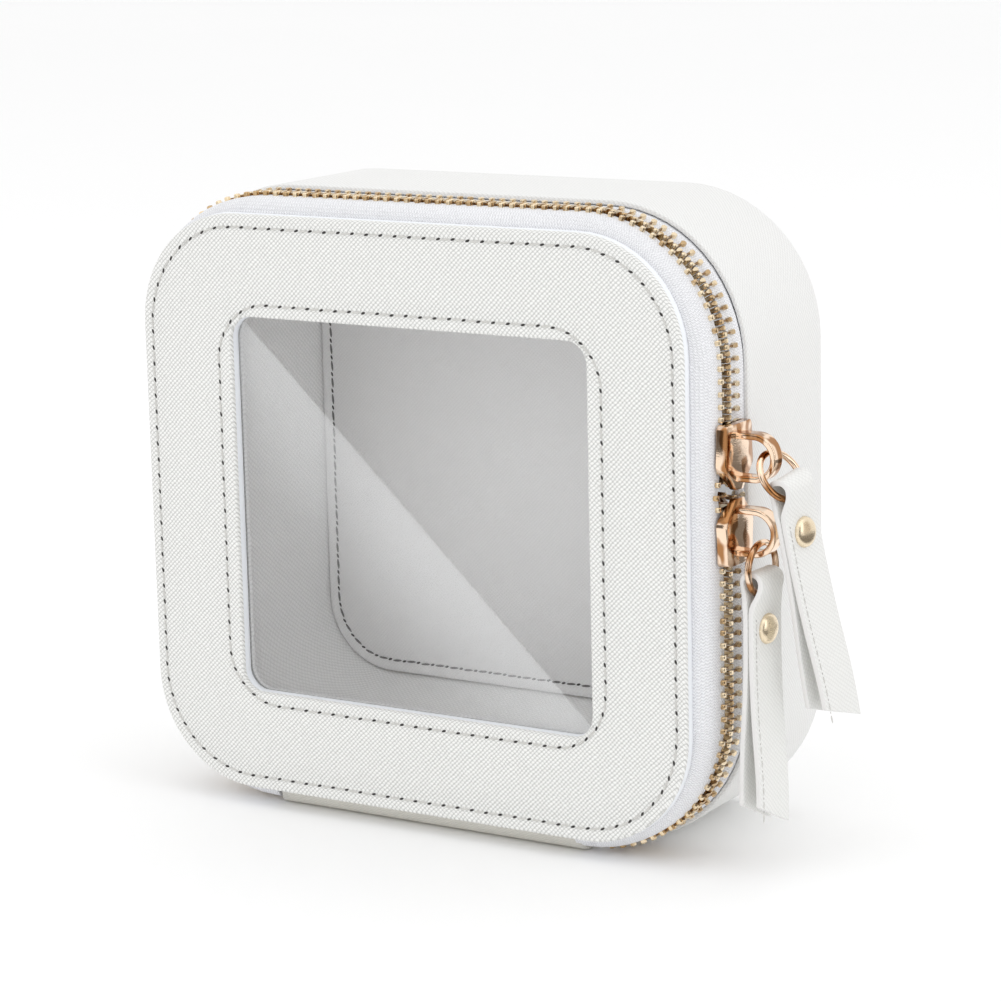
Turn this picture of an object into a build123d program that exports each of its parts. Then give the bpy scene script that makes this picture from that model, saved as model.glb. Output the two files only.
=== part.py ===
from build123d import *
from math import sqrt
import os

# A small zip-round jewelry case that stands on its hinge side.  X runs to the side
# that carries the zip sliders, Y runs from the window to the back, Z is up.
# The origin is on the resting face, under the middle of the case.  Millimetres.

# ---- overall sizes ----
case_width = 109.6
case_height = 105.2
case_depth = 44.5
case_corner = 24.4

# ---- lid: a stiff leather frame round a clear window ----
panel_inset_side = 3.0
panel_inset_top = 3.4
panel_corner = 19.0
panel_thickness = 2.3
panel_edge_round = 0.6
window_border_side = 17.6
window_border_top = 17.1
window_corner = 3.8
window_shift = 0.4
pane_thickness = 0.5
pane_lap = 4.0
edge_paint = 0.5

# ---- sheet materials ----
leather = 0.8
board = 1.4
inner_board = 0.8
tape = 0.6
lining = 0.7
sheet_gap = 0.1

# ---- zip chain: two rows of metal teeth, each gripping the edge of a tape ----
chain_depth = 9.6
chain_width = 6.0
chain_inset_side = 0.4
chain_inset_top = 1.0
tooth_pitch = 2.0
tooth_width = 0.85
tooth_rise = 0.9
tooth_lap = 0.55
tooth_grip = 1.55
tooth_slack = 0.05
row_opening = 1.9
row_opening_share = 0.5714
tape_bend_ahead = 5.0
tape_tuck_behind = 5.0
tape_flange = 4.0
tape_lap = 4.5

# ---- base: walls and back ----
rim_behind_chain = 5.4
wall_leather = 1.0
wall_rear_round = 3.0
wall_turn_in = 7.0
back_panel_rise = 0.4
lining_rim_inset = 2.0
lining_rim_step = 0.5
back_lining_inset_side = 11.2
back_lining_inset_top = 14.7
back_lining_corner = 13.0

# ---- leather hinge along the bottom ----
hinge_end_gap = 0.9
hinge_leather = 0.9
hinge_gap = 0.05

# ---- zip sliders ----
slider_length = 10.5
slider_tail_width = 8.4
slider_shoulder_width = 9.2
slider_nose_width = 3.2
slider_shoulder = 1.5
slider_corner = 0.7
plate_thickness = 1.1
plate_clearance = 0.3
flange_width = 0.85
flange_gap = 0.35
slider_gap = 1.4
lower_slider_rise = 2.4
bail_length = 7.8
bail_rise = 6.7
bail_thickness = 0.9
bail_width = 3.0
bail_round = 3.2
diamond_half_width = 0.5
diamond_start = 2.4
diamond_end = 5.0

# ---- pull rings and straps ----
ring_radius = 4.1
wire_radius = 0.55
strap_width = 8.6
strap_neck_width = 6.6
strap_neck_length = 3.2
strap_neck_taper = 2.3
strap_length_share = 0.38973
strap_slant = 4.2
strap_spread = 1.3
strap_leather = 0.9
strap_closed_gap = 0.1
fold_radius = 1.0
fold_lift = 0.5
fold_straight = 1.8
rivet_drop = 9.5
rivet_hold = 2.8
rivet_cap_radius = 2.45
rivet_cap_height = 1.3
rivet_back_radius = 2.1
rivet_back_thickness = 0.5
rivet_post_radius = 0.8
rivet_post_reach = 0.6
rivet_clearance = 0.05

# ---- how each pull lies at rest: where its ring hangs in the bail, and its turns in degrees ----
upper_ring_out = 4.5
upper_ring_lift = 0.7
upper_turn = -8.0
upper_lean = 10.0
upper_ring_tilt = 34.0
upper_strap_tilt = 5.0
lower_ring_out = 3.6
lower_ring_lift = -1.6
lower_turn = -4.0
lower_lean = 0.0
lower_ring_tilt = 0.0
lower_strap_tilt = 0.0

# ---- worked out from the sizes above ----
front_y = -case_depth / 2
centre_z = case_height / 2
panel_width = case_width - 2 * panel_inset_side
panel_height = case_height - 2 * panel_inset_top
window_width = panel_width - 2 * window_border_side
window_height = panel_height - 2 * window_border_top
back_lining_width = case_width - 2 * back_lining_inset_side
back_lining_height = case_height - 2 * back_lining_inset_top
hinge_width = case_width - 2 * case_corner - 2 * hinge_end_gap
strap_length = strap_length_share * case_height
lower_slider_height = centre_z + lower_slider_rise
upper_slider_height = lower_slider_height + slider_length + slider_gap
row_opening_run = row_opening_share * slider_length
tape_bend_depth = chain_depth - tape_bend_ahead
tape_tuck_depth = chain_depth + tape_tuck_behind
rim_depth = chain_depth + rim_behind_chain
chain_y = front_y + chain_depth
row_half = chain_width / 2
tape_edge = row_half - tooth_grip
stiffener = panel_thickness - leather
rear_depth = case_depth - back_panel_rise
back_board_depth = rear_depth - wall_leather - board
back_lining_depth = back_board_depth - inner_board - leather
case_outline = (case_width, case_height, case_corner)
panel_outline = (panel_width, panel_height, panel_corner)
window_outline = (window_width, window_height, window_corner)
loop_outline = (case_width - 2 * chain_inset_side, case_height - 2 * chain_inset_top,
                case_corner - chain_inset_side)
back_lining_outline = (back_lining_width, back_lining_height, back_lining_corner)
tape_skin_x = loop_outline[0] / 2
parting_height = (upper_slider_height + lower_slider_height) / 2

os.makedirs("parts", exist_ok=True)


def facing(depth):
    """The plane parallel to the window, this far behind the front face."""
    return Plane(origin=(0, front_y + depth, centre_z), x_dir=(1, 0, 0), z_dir=(0, -1, 0))


def finish(builder, label):
    """Name a finished piece and write it out."""
    builder.part.label = label
    export_step(builder.part, f"parts/{label}.step")


def grown(size, amount):
    """A rounded rectangle's (width, height, corner) moved outward by amount."""
    return (size[0] + 2 * amount, size[1] + 2 * amount, size[2] + amount)


def block(depth, size, length, mode=Mode.ADD, shift=0.0):
    """A straight block with a rounded rectangular outline, inside a part builder."""
    with BuildSketch(facing(depth)) as outline:
        with Locations((shift, 0)):
            RectangleRounded(*size)
    extrude(outline.sketch, amount=-length, mode=mode)


def flare(near_depth, near, far_depth, far, mode=Mode.ADD):
    """A solid between two rounded rectangles at two depths, inside a part builder."""
    with BuildSketch(facing(near_depth)) as near_end:
        RectangleRounded(*near)
    with BuildSketch(facing(far_depth)) as far_end:
        RectangleRounded(*far)
    loft([near_end.sketch, far_end.sketch], mode=mode)


def frame_sheet(label, depth, thickness, outer, inner, outer_shift=0.0, inner_shift=0.0):
    """A flat frame cut from sheet: a rounded rectangle with a rounded opening."""
    with BuildPart() as sheet:
        block(depth, outer, thickness, shift=outer_shift)
        block(depth, inner, thickness, mode=Mode.SUBTRACT, shift=inner_shift)
    finish(sheet, label)


def flat_sheet(label, depth, thickness, outer, shift=0.0):
    """A flat sheet cut to a rounded rectangle."""
    with BuildPart() as sheet:
        block(depth, outer, thickness, shift=shift)
    finish(sheet, label)


# ------------------------------------------------------------------ lid panel
with BuildPart() as front_panel_skin:
    block(0, panel_outline, leather)
    block(0, window_outline, leather, mode=Mode.SUBTRACT, shift=window_shift)
    front_face = front_panel_skin.faces().sort_by(Axis.Y)[0]
    fillet(front_face.outer_wire().edges(), radius=min(panel_edge_round, 0.75 * leather))
finish(front_panel_skin, "front_panel_skin")

frame_sheet("front_panel_board", leather, stiffener, grown(panel_outline, -edge_paint),
            grown(window_outline, edge_paint), inner_shift=window_shift)
frame_sheet("panel_edge_band", leather, stiffener, panel_outline, grown(panel_outline, -edge_paint))
frame_sheet("window_edge_band", leather, stiffener, grown(window_outline, edge_paint),
            window_outline, outer_shift=window_shift, inner_shift=window_shift)
flat_sheet("window_pane", panel_thickness, pane_thickness, grown(window_outline, pane_lap),
           shift=window_shift)
frame_sheet("lid_lining", panel_thickness + tape, lining, grown(panel_outline, -2 * tape),
            grown(window_outline, sheet_gap), inner_shift=window_shift)


# ------------------------------------------------------------------ zip tapes
def cut_hinge_opening():
    """Clear the stretch of tape along the bottom that the leather hinge replaces."""
    with BuildSketch(facing(panel_thickness)) as opening:
        with Locations((0, -case_height / 2)):
            Rectangle(hinge_width, case_height / 4)
    extrude(opening.sketch, amount=-(rim_depth + tape_lap), mode=Mode.SUBTRACT)


def cut_row_opening(side):
    """Draw the tape edge back where the sliders hold the two rows apart."""
    edge_y = chain_y + side * tape_edge
    with BuildSketch(Plane.YZ.offset(tape_skin_x - 2 * tape)) as notch:
        with BuildLine():
            Polyline((edge_y - side * tape, parting_height - row_opening_run - tooth_pitch),
                     (edge_y, parting_height - row_opening_run - tooth_width),
                     (edge_y + side * (row_opening + tooth_grip / 4), parting_height),
                     (edge_y, parting_height + row_opening_run + tooth_width),
                     (edge_y - side * tape, parting_height + row_opening_run + tooth_pitch),
                     close=True)
        make_face()
    extrude(notch.sketch, amount=3 * tape, mode=Mode.SUBTRACT)


tape_start = grown(panel_outline, -tape)
under_wall = grown(case_outline, -wall_leather - sheet_gap)

with BuildPart() as lid_zip_tape:
    flare(panel_thickness, tape_start, tape_bend_depth, loop_outline)
    block(tape_bend_depth, loop_outline, chain_depth - tape_edge - tape_bend_depth)
    flare(panel_thickness, grown(tape_start, -tape), tape_bend_depth, grown(loop_outline, -tape),
          mode=Mode.SUBTRACT)
    block(tape_bend_depth, grown(loop_outline, -tape), chain_depth - tape_edge - tape_bend_depth,
          mode=Mode.SUBTRACT)
    cut_hinge_opening()
    cut_row_opening(-1)
    block(panel_thickness, tape_start, tape)
    block(panel_thickness, grown(tape_start, -tape_flange), tape, mode=Mode.SUBTRACT)
finish(lid_zip_tape, "lid_zip_tape")

with BuildPart() as base_zip_tape:
    block(chain_depth + tape_edge, loop_outline, tape_tuck_depth - chain_depth - tape_edge)
    flare(tape_tuck_depth, loop_outline, rim_depth, under_wall)
    block(rim_depth, under_wall, tape_lap)
    block(chain_depth + tape_edge, grown(loop_outline, -tape),
          tape_tuck_depth - chain_depth - tape_edge, mode=Mode.SUBTRACT)
    flare(tape_tuck_depth, grown(loop_outline, -tape), rim_depth, grown(under_wall, -tape),
          mode=Mode.SUBTRACT)
    block(rim_depth, grown(under_wall, -tape), tape_lap, mode=Mode.SUBTRACT)
    cut_hinge_opening()
    cut_row_opening(1)
finish(base_zip_tape, "base_zip_tape")

# ------------------------------------------------------------------ zip teeth
half_width = loop_outline[0] / 2
half_height = loop_outline[1] / 2
arc = loop_outline[2]
with BuildLine(facing(chain_depth)) as chain_line:
    CenterArc((arc - half_width, arc - half_height), arc, 270, -90)
    Line((-half_width, arc - half_height), (-half_width, half_height - arc))
    CenterArc((arc - half_width, half_height - arc), arc, 180, -90)
    Line((arc - half_width, half_height), (half_width - arc, half_height))
    CenterArc((half_width - arc, half_height - arc), arc, 90, -90)
    Line((half_width, half_height - arc), (half_width, arc - half_height))
    CenterArc((half_width - arc, arc - half_height), arc, 0, -90)
chain_path = chain_line.wires()[0]
teeth_per_row = int(chain_path.length / tooth_pitch)


def tooth_places(side):
    """Where one row's teeth sit: along the chain, outward of the tape, drawn back at the sliders."""
    places = []
    for count in range(teeth_per_row):
        along = (count + (0.25 if side < 0 else 0.75)) * tooth_pitch
        point = chain_path.position_at(along, position_mode=PositionMode.LENGTH)
        run = chain_path.tangent_at(along, position_mode=PositionMode.LENGTH)
        outward = Vector(-run.Z, 0, run.X)
        opening = 0.0
        if point.X > 0 and abs(point.Z - parting_height) < row_opening_run:
            opening = row_opening * (1 - abs(point.Z - parting_height) / row_opening_run)
        point = Vector(point.X, chain_y + side * opening, point.Z)
        places.append(Location(Plane(origin=point, x_dir=run, z_dir=outward)))
    return places


def make_teeth(label, side):
    """One row: each tooth's legs grip the tape, its head laps past the middle of the chain."""
    with BuildPart(mode=Mode.PRIVATE) as tooth:
        with Locations((0, side * (row_half - tooth_lap) / 2, -tape / 2)):
            Box(tooth_width, row_half + tooth_lap, tape + 2 * tooth_rise)
        with Locations((0, side * (row_half + tape_edge) / 2, -tape / 2)):
            Box(tooth_width, tooth_grip + 2 * tooth_slack, tape + 2 * tooth_slack,
                mode=Mode.SUBTRACT)
    with BuildPart() as row:
        with Locations(*tooth_places(side)):
            add(tooth.part)
    finish(row, label)


make_teeth("lid_zip_teeth", -1)
make_teeth("base_zip_teeth", 1)

# ------------------------------------------------------------------ base walls
with BuildPart() as wall_skin:
    block(rim_depth, case_outline, rear_depth - rim_depth)
    rear_face = wall_skin.faces().sort_by(Axis.Y)[-1]
    fillet(rear_face.outer_wire().edges(), radius=wall_rear_round)
    with BuildPart(mode=Mode.PRIVATE) as hollow:
        block(rim_depth, grown(case_outline, -wall_leather), rear_depth - wall_leather - rim_depth)
        hollow_end = hollow.faces().sort_by(Axis.Y)[-1]
        fillet(hollow_end.outer_wire().edges(), radius=wall_rear_round - wall_leather)
    add(hollow.part, mode=Mode.SUBTRACT)
    block(rim_depth, grown(case_outline, -wall_turn_in), case_depth, mode=Mode.SUBTRACT)
finish(wall_skin, "wall_skin")

board_start = rim_depth + tape_lap + lining_rim_step
board_end = rear_depth - wall_rear_round
frame_sheet("wall_board", board_start, board_end - board_start, grown(case_outline, -wall_leather),
            grown(case_outline, -wall_leather - board))

lining_start = rim_depth + lining_rim_step
lining_rim = grown(case_outline, -lining_rim_inset)
lining_back = grown(back_lining_outline, lining)

with BuildPart() as wall_padding:
    block(board_start, grown(case_outline, -wall_leather - board), back_board_depth - board_start)
    flare(lining_start, lining_rim, back_board_depth, lining_back, mode=Mode.SUBTRACT)
finish(wall_padding, "wall_padding")

with BuildPart() as wall_lining:
    flare(lining_start, lining_rim, back_board_depth, lining_back)
    flare(lining_start, grown(lining_rim, -lining), back_board_depth, back_lining_outline,
          mode=Mode.SUBTRACT)
finish(wall_lining, "wall_lining")

# ------------------------------------------------------------------ base back
flat_sheet("back_board", back_board_depth, board, grown(case_outline, -wall_rear_round - sheet_gap))
flat_sheet("back_panel_skin", back_board_depth + board, case_depth - back_board_depth - board,
           grown(case_outline, -wall_turn_in - 2 * sheet_gap))
flat_sheet("inner_back_board", back_board_depth - inner_board, inner_board,
           grown(back_lining_outline, -2 * sheet_gap))
flat_sheet("inner_back_panel", back_lining_depth, leather,
           grown(back_lining_outline, -2 * sheet_gap))


# ------------------------------------------------------------------ hinge
def hinge_sheet(label, profile):
    """A strip of sheet across the bottom, from its (depth, distance below the centre) profile."""
    with BuildPart() as strip:
        with BuildSketch(Plane.YZ) as section:
            with BuildLine():
                Polyline([(front_y + depth, centre_z - drop) for depth, drop in profile], close=True)
            make_face()
        extrude(section.sketch, amount=hinge_width / 2, both=True)
    finish(strip, label)


hinge_drop = loop_outline[1] / 2 + tooth_rise
panel_drop = panel_height / 2
tuck_drop = under_wall[1] / 2 + hinge_gap
hinge_front = panel_thickness + sheet_gap
hinge_back = rim_depth + tape_lap
hinge_sheet("hinge_strip", [
    (hinge_front, panel_drop - hinge_gap),
    (tape_bend_depth, hinge_drop),
    (tape_tuck_depth - hinge_gap, hinge_drop),
    (rim_depth, tuck_drop),
    (hinge_back, tuck_drop),
    (hinge_back, tuck_drop - hinge_leather),
    (rim_depth, tuck_drop - hinge_leather),
    (tape_tuck_depth - hinge_gap, hinge_drop - hinge_leather),
    (tape_bend_depth + hinge_leather / 2, hinge_drop - hinge_leather),
    (hinge_front, panel_drop - tape + hinge_gap),
])
lined_drop = hinge_drop - hinge_leather - hinge_gap
lining_front = panel_thickness + tape + lining + hinge_gap
hinge_sheet("hinge_lining", [
    (lining_front, panel_drop + tape / 2),
    (tape_bend_depth + hinge_leather, lined_drop),
    (tape_tuck_depth - tape / 2, lined_drop),
    (rim_depth - hinge_gap, tuck_drop - hinge_leather - 2 * hinge_gap),
    (rim_depth - hinge_gap, tuck_drop - hinge_leather - tape),
    (tape_tuck_depth - tape, lined_drop - tape),
    (tape_bend_depth + hinge_leather + tape / 2, lined_drop - tape),
    (lining_front, panel_drop - tape),
])


# ------------------------------------------------------------------ zip sliders
outer_plate_x = tape_skin_x + tooth_rise + plate_clearance
inner_plate_x = tape_skin_x - tape - tooth_rise - plate_clearance
bail_x = outer_plate_x + plate_thickness


def across(level, height):
    """The plane parallel to the side wall at this level, centred on the chain at a height."""
    return Plane(origin=(level, chain_y, height), x_dir=(0, 1, 0), z_dir=(1, 0, 0))


def slider_plate(level, thickness, height, nose):
    """One of a slider's two plates, inside a part builder: wide shoulders, narrow nose."""
    tail = -nose * slider_length / 2
    corners = [(-slider_tail_width / 2, tail), (-slider_shoulder_width / 2, nose * slider_shoulder),
               (-slider_nose_width / 2, -tail), (slider_nose_width / 2, -tail),
               (slider_shoulder_width / 2, nose * slider_shoulder), (slider_tail_width / 2, tail)]
    with BuildSketch(across(level, height)) as outline:
        with BuildLine():
            Polyline(corners, close=True)
        make_face()
        fillet(outline.vertices(), radius=slider_corner)
    extrude(outline.sketch, amount=thickness)


def slider_flange(level, thickness, height, nose, side):
    """The lip along one side of a plate that keeps the teeth in the channel."""
    tail = -nose * (slider_length / 2 - slider_corner)
    shoulder = nose * slider_shoulder
    outer_tail = side * slider_tail_width / 2
    outer_shoulder = side * slider_shoulder_width / 2
    with BuildSketch(across(level, height)) as outline:
        with BuildLine():
            Polyline((outer_tail, tail), (outer_shoulder, shoulder),
                     (outer_shoulder - side * flange_width, shoulder),
                     (outer_tail - side * flange_width, tail), close=True)
        make_face()
    extrude(outline.sketch, amount=thickness)


def make_slider(label, height, nose):
    """Two plates joined by the post that parts the rows, with a lip down each side."""
    outer_lip = outer_plate_x - tape_skin_x - flange_gap
    inner_lip = tape_skin_x - tape - flange_gap - inner_plate_x
    with BuildPart() as slider:
        slider_plate(outer_plate_x, plate_thickness, height, nose)
        slider_plate(inner_plate_x - plate_thickness, plate_thickness, height, nose)
        for side in (-1, 1):
            slider_flange(outer_plate_x - outer_lip, outer_lip, height, nose, side)
            slider_flange(inner_plate_x, inner_lip, height, nose, side)
        with BuildSketch(across(inner_plate_x, height)) as post:
            with BuildLine():
                Polyline((0, nose * diamond_start),
                         (diamond_half_width, nose * (diamond_start + diamond_end) / 2),
                         (0, nose * diamond_end),
                         (-diamond_half_width, nose * (diamond_start + diamond_end) / 2),
                         close=True)
            make_face()
        extrude(post.sketch, amount=outer_plate_x - inner_plate_x)
    finish(slider, label)


def make_bail(label, height):
    """The wide arched bail that the pull ring hangs in."""
    arch_plane = Plane(origin=(bail_x, chain_y, height), x_dir=(1, 0, 0), z_dir=(0, -1, 0))
    with BuildSketch(arch_plane) as arch_hole:
        Rectangle(bail_rise - bail_thickness, bail_length - 2 * bail_thickness,
                  align=(Align.MIN, Align.CENTER))
        fillet(arch_hole.vertices().group_by(Axis.X)[-1], radius=bail_round - bail_thickness)
    with BuildSketch(arch_plane) as arch:
        Rectangle(bail_rise, bail_length, align=(Align.MIN, Align.CENTER))
        fillet(arch.vertices().group_by(Axis.X)[-1], radius=bail_round)
    with BuildPart() as bail:
        extrude(arch.sketch, amount=bail_width / 2, both=True)
        extrude(arch_hole.sketch, amount=bail_width / 2, both=True, mode=Mode.SUBTRACT)
    finish(bail, label)


# ------------------------------------------------------------------ rings and straps
neck_chord = sqrt(ring_radius ** 2 - (strap_neck_width / 2) ** 2)
strap_pivot = ring_radius + (ring_radius + neck_chord) / 2
fold_height = (ring_radius - neck_chord) / 2 + fold_lift
fold_outer = fold_radius + strap_leather
strap_top = fold_height + fold_outer
closed_half = strap_closed_gap / 2 + strap_leather


def seen(frame, plane):
    """One of the three main planes, carried into a piece's own frame."""
    return Plane(frame * plane.location)


def make_ring(label, frame):
    """A plain wire ring that hangs from its top point."""
    with BuildPart() as ring:
        with Locations(frame * Location((0, 0, -ring_radius), (0, 90, 0))):
            Torus(ring_radius, wire_radius)
    finish(ring, label)


def strap_side_line(outer):
    """Half of the strap's side view, from the fold down: gripped at the rivet, open at the end."""
    spare = strap_leather if outer else 0.0
    return [(fold_radius + spare, fold_height), (fold_radius + spare, -fold_straight),
            (strap_closed_gap / 2 + spare, strap_top - rivet_drop + rivet_hold),
            (strap_closed_gap / 2 + spare, strap_top - rivet_drop - rivet_hold),
            (strap_spread + spare, strap_top - strap_length - strap_slant / 2)]


def make_strap(label, frame):
    """A leather strap folded double over the ring, cut at a slant, with a rivet hole."""
    outer_line = strap_side_line(True)
    inner_line = strap_side_line(False)
    mirrored_outer = [(-x, z) for x, z in outer_line]
    mirrored_inner = [(-x, z) for x, z in inner_line]
    with BuildSketch(seen(frame, Plane.XZ)) as side_view:
        with BuildLine():
            Polyline(outer_line)
            Line(outer_line[-1], inner_line[-1])
            Polyline(inner_line)
            CenterArc((0, fold_height), fold_radius, 0, 180)
            Polyline(mirrored_inner)
            Line(mirrored_inner[-1], mirrored_outer[-1])
            Polyline(mirrored_outer)
            CenterArc((0, fold_height), fold_outer, 0, 180)
        make_face()
    half = strap_width / 2
    neck = strap_neck_width / 2
    neck_end = strap_top - strap_neck_length
    taper_end = neck_end - strap_neck_taper
    short_end = strap_top - strap_length + strap_slant / 2
    long_end = strap_top - strap_length - strap_slant / 2
    with BuildSketch(seen(frame, Plane.YZ)) as front_view:
        with BuildLine():
            Polyline((-neck, strap_top + leather), (-neck, neck_end), (-half, taper_end),
                     (-half, short_end), (half, long_end), (half, taper_end), (neck, neck_end),
                     (neck, strap_top + leather), close=True)
        make_face()
    with BuildPart() as strap:
        extrude(side_view.sketch, amount=strap_width / 2, both=True)
        extrude(front_view.sketch, amount=2 * fold_outer, both=True, mode=Mode.INTERSECT)
        with Locations(frame * Location((0, 0, strap_top - rivet_drop), (0, 90, 0))):
            Cylinder(rivet_post_radius + rivet_clearance, 2 * fold_outer, mode=Mode.SUBTRACT)
    finish(strap, label)


def make_rivet(cap_label, back_label, frame):
    """A domed cap on the strap's outside, held by a post with a flat back."""
    rivet_frame = frame * Location((0, 0, strap_top - rivet_drop))
    dome_radius = (rivet_cap_radius ** 2 + rivet_cap_height ** 2) / (2 * rivet_cap_height)
    crown = closed_half + rivet_cap_height
    with BuildSketch(seen(rivet_frame, Plane.XZ)) as dome:
        with BuildLine():
            Line((closed_half, 0), (crown, 0))
            RadiusArc((crown, 0), (closed_half, rivet_cap_radius), -dome_radius)
            Line((closed_half, rivet_cap_radius), (closed_half, 0))
        make_face()
    rivet_axis = Axis(rivet_frame.position, Plane(rivet_frame).x_dir)
    with BuildPart() as cap:
        revolve(dome.sketch, axis=rivet_axis)
        with Locations(rivet_frame * Location((closed_half, 0, 0), (0, 90, 0))):
            Cylinder(rivet_post_radius + rivet_clearance, rivet_post_reach + rivet_clearance,
                     align=(Align.CENTER, Align.CENTER, Align.MIN), mode=Mode.SUBTRACT)
    finish(cap, cap_label)
    with BuildPart() as back:
        with Locations(rivet_frame * Location((-closed_half, 0, 0), (0, 90, 0))):
            Cylinder(rivet_post_radius, 2 * closed_half + rivet_post_reach,
                     align=(Align.CENTER, Align.CENTER, Align.MIN))
            Cylinder(rivet_back_radius, rivet_back_thickness,
                     align=(Align.CENTER, Align.CENTER, Align.MAX))
    finish(back, back_label)


def make_pull(name, height, ring_out, ring_lift, turn, lean, ring_tilt, strap_tilt):
    """The ring, strap and rivet of one slider, hung as they lie at rest."""
    hang = Location((bail_x + ring_out, chain_y, height + ring_lift))
    hang = hang * Location((0, 0, 0), (0, 0, turn)) * Location((0, 0, 0), (lean, 0, 0))
    ring_frame = hang * Location((0, 0, 0), (0, -ring_tilt, 0))
    strap_frame = (ring_frame * Location((0, 0, -strap_pivot))
                   * Location((0, 0, 0), (0, ring_tilt - strap_tilt, 0)))
    make_ring(f"{name}_ring", ring_frame)
    make_strap(f"{name}_pull_strap", strap_frame)
    make_rivet(f"{name}_rivet_cap", f"{name}_rivet_back", strap_frame)


make_slider("upper_slider", upper_slider_height, -1)
make_slider("lower_slider", lower_slider_height, 1)
make_bail("upper_bail", upper_slider_height)
make_bail("lower_bail", lower_slider_height)
make_pull("upper", upper_slider_height, upper_ring_out, upper_ring_lift, upper_turn, upper_lean,
          upper_ring_tilt, upper_strap_tilt)
make_pull("lower", lower_slider_height, lower_ring_out, lower_ring_lift, lower_turn, lower_lean,
          lower_ring_tilt, lower_strap_tilt)
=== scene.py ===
import math
import random

import bmesh
import bpy
from mathutils import Matrix, Vector


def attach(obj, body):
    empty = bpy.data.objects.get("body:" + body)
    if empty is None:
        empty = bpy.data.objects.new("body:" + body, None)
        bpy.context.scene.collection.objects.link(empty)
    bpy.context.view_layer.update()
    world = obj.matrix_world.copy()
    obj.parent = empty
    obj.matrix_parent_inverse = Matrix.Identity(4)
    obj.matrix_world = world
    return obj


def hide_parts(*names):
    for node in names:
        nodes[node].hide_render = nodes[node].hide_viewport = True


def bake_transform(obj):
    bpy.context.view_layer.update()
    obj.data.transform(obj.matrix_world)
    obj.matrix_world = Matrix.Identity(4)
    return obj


# A small zip-round jewelry case that stands on its hinge side: white cross-grain leather
# over board, a clear window, a gold zip with two sliders, and leather pulls on rings.
# X runs to the slider side, Y from the window to the back, Z up.  Shapes are drawn in
# millimetres and turned to metres as each piece is finished.

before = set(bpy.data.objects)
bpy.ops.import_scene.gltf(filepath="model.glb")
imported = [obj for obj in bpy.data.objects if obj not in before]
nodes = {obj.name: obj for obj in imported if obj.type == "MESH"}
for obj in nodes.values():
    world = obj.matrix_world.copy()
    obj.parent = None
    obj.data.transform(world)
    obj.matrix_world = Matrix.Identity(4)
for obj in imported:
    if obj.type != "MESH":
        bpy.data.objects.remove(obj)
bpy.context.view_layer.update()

MM = 0.001
FRONT = -22.25
MIDDLE = 52.6
CORNER_STEPS = 14

# Rounded rectangles, as width, height and corner radius.
CASE = (109.6, 105.2, 24.4)
PANEL = (103.6, 98.4, 19.0)
WINDOW = (68.4, 64.2, 3.8)
OUTER_STITCH = (100.0, 94.0, 17.4)
WINDOW_STITCH = (73.6, 68.4, 9.8)
CHAIN = (108.8, 103.2, 24.0)
BACK_LINING = (87.2, 75.8, 13.0)

WINDOW_SHIFT = 0.4
STITCH_PITCH = 2.75
INNER_STITCH_PITCH = 3.0
GROOVE_DEPTH = 0.16
GROOVE_HALF = 0.55

WALL_LEATHER = 1.0
BOARD = 1.4
LINING = 0.7
RIM_LINING_INSET = 2.0
LINING_START = 15.5
LINING_RUN = 26.2
REAR_DEPTH = 44.1
REAR_ROUND = 3.5

# The zip: how far back the chain runs, and where the two sliders part its rows.
CHAIN_DEPTH = 9.6
CHAIN_Y = FRONT + CHAIN_DEPTH
TAPE = 0.6
TAPE_EDGE = 1.45
TAPE_TRIM = 0.12
TOOTH_PITCH = 2.0
TOOTH_COUNT = 160
PARTING = 60.95
ROW_OPENING = 1.9
OPENING_RUN = 6.0
SWELL = 0.45
HINGE_WIDTH = 59.0
HINGE_END_GAP = 0.85
UPPER_HEIGHT = 66.9
LOWER_HEIGHT = 55.0

rng = random.Random(7)


# ------------------------------------------------------------------ mixing materials
class Wire:
    """A value on its way through a material; arithmetic on it adds the nodes that do it."""

    def __init__(self, paint, socket):
        self.paint = paint
        self.socket = socket

    def _math(self, operation, first, second):
        return self.paint.node("ShaderNodeMath", {"operation": operation}, {0: first, 1: second})

    def __add__(self, other):
        return self._math("ADD", self, other)

    def __radd__(self, other):
        return self._math("ADD", other, self)

    def __sub__(self, other):
        return self._math("SUBTRACT", self, other)

    def __rsub__(self, other):
        return self._math("SUBTRACT", other, self)

    def __mul__(self, other):
        return self._math("MULTIPLY", self, other)

    def __rmul__(self, other):
        return self._math("MULTIPLY", other, self)

    def __truediv__(self, other):
        return self._math("DIVIDE", self, other)

    def wave(self):
        return self._math("SINE", self, 0.0)

    def to_power(self, other):
        return self._math("POWER", self, other)

    def between(self, low, high, least=0.0, most=1.0):
        """Eased from least to most as the value goes from low to high."""
        return self.paint.node("ShaderNodeMapRange", {"interpolation_type": "SMOOTHSTEP"},
                               {"Value": self, "From Min": low, "From Max": high,
                                "To Min": least, "To Max": most})


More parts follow.
